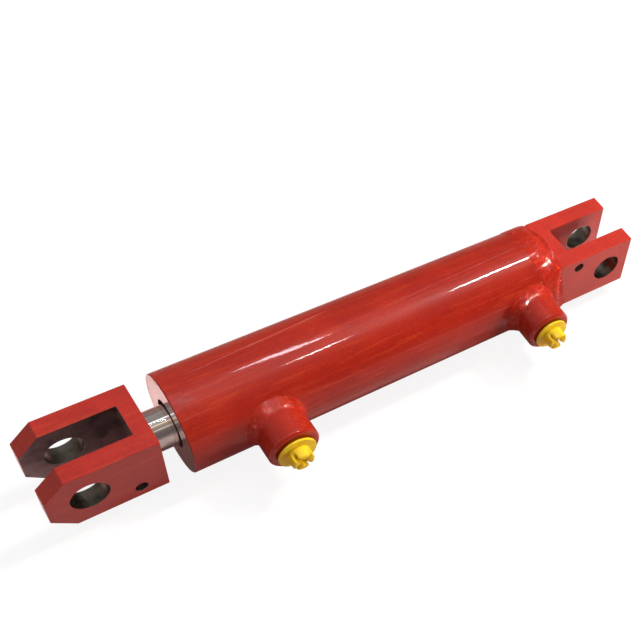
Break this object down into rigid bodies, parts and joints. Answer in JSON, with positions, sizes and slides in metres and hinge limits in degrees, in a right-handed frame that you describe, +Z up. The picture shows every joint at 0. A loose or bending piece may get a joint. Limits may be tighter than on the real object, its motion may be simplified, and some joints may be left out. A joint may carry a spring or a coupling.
{
  "type": "hydraulic cylinder",
  "caption": "Double-acting welded hydraulic cylinder with clevis ends, chromed rod, screwed-in gland and plugged side oil ports, shown fully retracted.",
  "frame": {"origin": "centre of the flat face at the bottom of the base clevis's slot, on the cylinder's axis", "axes": "+X along the cylinder from the rod end to the base end, -Y the way the oil ports face, +Z up"},
  "size_m": [0.39, 0.0922, 0.0632],
  "materials": {
    "red_paint": "gloss enamel with light orange peel",
    "bare_steel": "fine turned, oiled",
    "chrome": "polished hard chrome",
    "cast_iron": "machined",
    "nitrile": "matt black",
    "polyurethane": "satin",
    "nylon": "satin",
    "yellow_plastic": "satin moulded polyethylene"
  },
  "bodies": {
    "barrel_assembly": {"barrel_tube": "red_paint", "base_cap": "bare_steel", "base_clevis": "red_paint", "base_weld": "red_paint", "rod_port_boss": "red_paint", "rod_port_weld": "red_paint", "base_port_boss": "red_paint", "base_port_weld": "red_paint", "gland": "bare_steel", "gland_o_ring": "nitrile", "gland_backup_ring": "nylon", "rod_wiper": "nitrile", "rod_seal": "polyurethane", "rod_guide_ring_front": "nylon", "rod_guide_ring_rear": "nylon"},
    "piston_rings": {"piston_seal": "polyurethane", "piston_seal_energizer": "nitrile", "piston_wear_ring_front": "nylon", "piston_wear_ring_rear": "nylon"},
    "rod_assembly": {"piston_rod": "chrome", "piston": "cast_iron", "piston_o_ring": "nitrile", "piston_lock_nut": "bare_steel", "rod_clevis": "red_paint", "rod_clevis_weld": "red_paint"},
    "rod_port_plug": {"rod_port_plug": "yellow_plastic"},
    "base_port_plug": {"base_port_plug": "yellow_plastic"}
  },
  "joints": [
    {"name": "rod_slide", "type": "slide", "parent": "barrel_assembly", "child": "piston_rings", "axis": [-1, 0, 0], "range_m": [0, 0.125]},
    {"name": "rod_spin", "type": "hinge", "parent": "piston_rings", "child": "rod_assembly", "pos_m": [0, 0, 0], "axis": [-1, 0, 0], "continuous": true},
    {"name": "rod_port_plug_pull", "type": "slide", "parent": "barrel_assembly", "child": "rod_port_plug", "axis": [0, -1, 0], "range_m": [0, 0.025]},
    {"name": "base_port_plug_pull", "type": "slide", "parent": "barrel_assembly", "child": "base_port_plug", "axis": [0, -1, 0], "range_m": [0, 0.025]}
  ]
}
